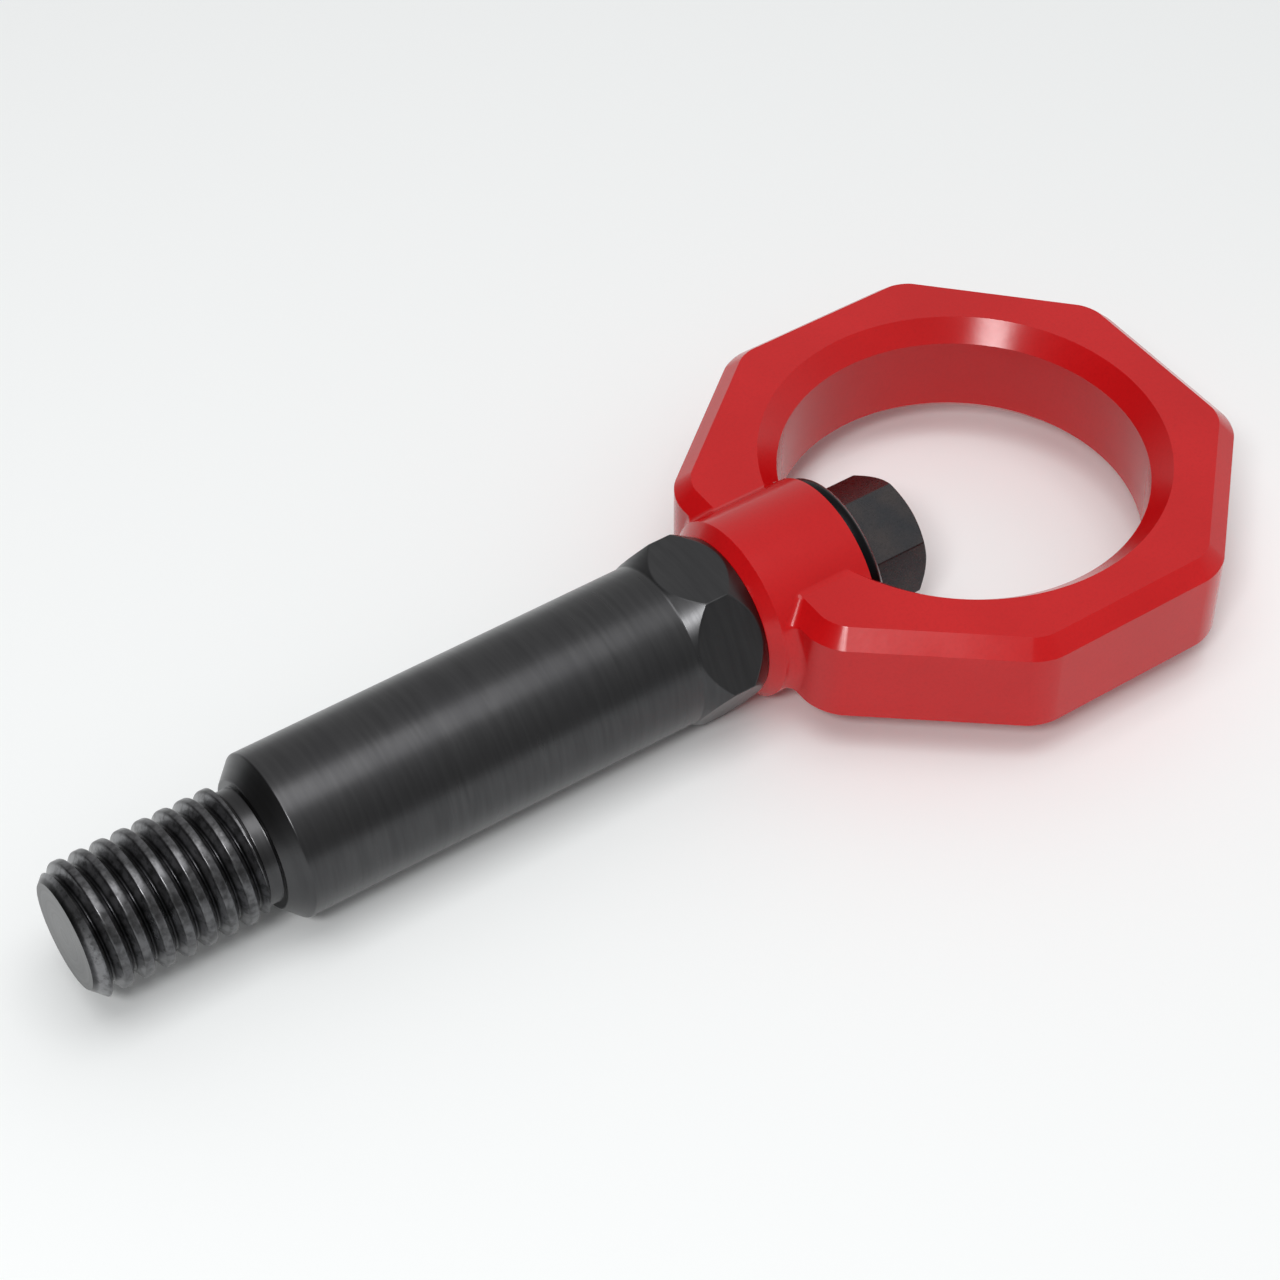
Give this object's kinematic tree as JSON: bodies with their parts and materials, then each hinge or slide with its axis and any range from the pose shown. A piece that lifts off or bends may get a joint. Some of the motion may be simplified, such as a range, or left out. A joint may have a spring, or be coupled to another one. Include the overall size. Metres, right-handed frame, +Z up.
{
  "type": "tow eye",
  "caption": "Screw-in tow eye: a flat eight-sided ring with a round eye, clamped by a flange bolt to a round steel shank with a wrench hexagon and a threaded stud.",
  "frame": {"origin": "middle of the part's length and width, on the surface that it lies on", "axes": "+X along the shank, from the threaded stud to the ring; +Z up, along the eye's axis"},
  "size_m": [0.1529, 0.0632, 0.0224],
  "materials": {
    "ring_red": "machined aluminium, glossy red coat",
    "shank_black": "turned steel, satin black plating",
    "bolt_black": "forged steel, black oxide"
  },
  "bodies": {
    "root": {"tow_ring": "ring_red", "shank": "shank_black", "flange_bolt": "bolt_black"}
  },
  "joints": []
}
